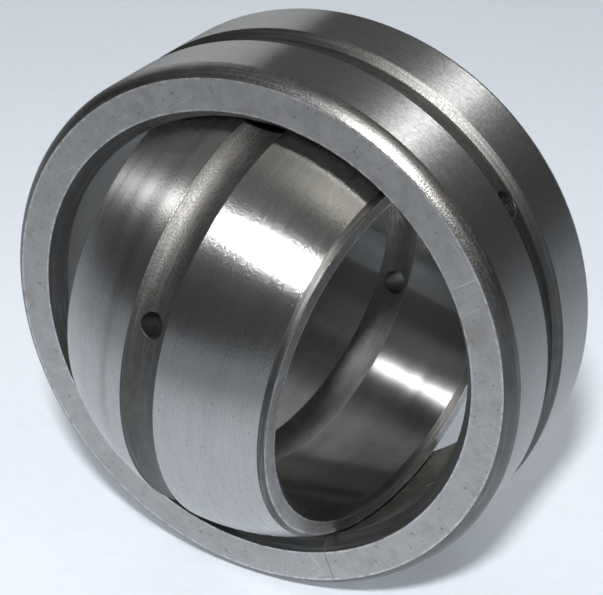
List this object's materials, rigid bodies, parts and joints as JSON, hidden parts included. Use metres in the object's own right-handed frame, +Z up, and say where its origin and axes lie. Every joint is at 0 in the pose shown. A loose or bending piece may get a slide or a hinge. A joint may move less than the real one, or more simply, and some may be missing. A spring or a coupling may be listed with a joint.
{
  "type": "spherical plain bearing",
  "caption": "Steel plain bearing: a ball-shaped inner ring with a shaft bore swivels in the hollow seat of a grooved outer ring pressed into a housing.",
  "frame": {"origin": "centre of the ball, which is also the centre of the outer ring", "axes": "+Y along the axis of the outer ring, front face towards -Y, +Z up with the outer ring standing on its rim"},
  "size_m": [0.062, 0.053, 0.062],
  "materials": {
    "outer_steel": "ground faces and rim, turned brown-grey chamfers and groove",
    "inner_steel": "polished ball and bore, turned brown-grey grooves"
  },
  "bodies": {
    "outer_ring": {"outer_ring": "outer_steel"},
    "inner_ring": {"inner_ring": "inner_steel"}
  },
  "joints": [
    {"name": "swivel", "type": "hinge", "parent": "outer_ring", "child": "inner_ring", "pos_m": [0, 0, 0], "axis": [0.1201, 0, 0.9928], "continuous": true}
  ]
}
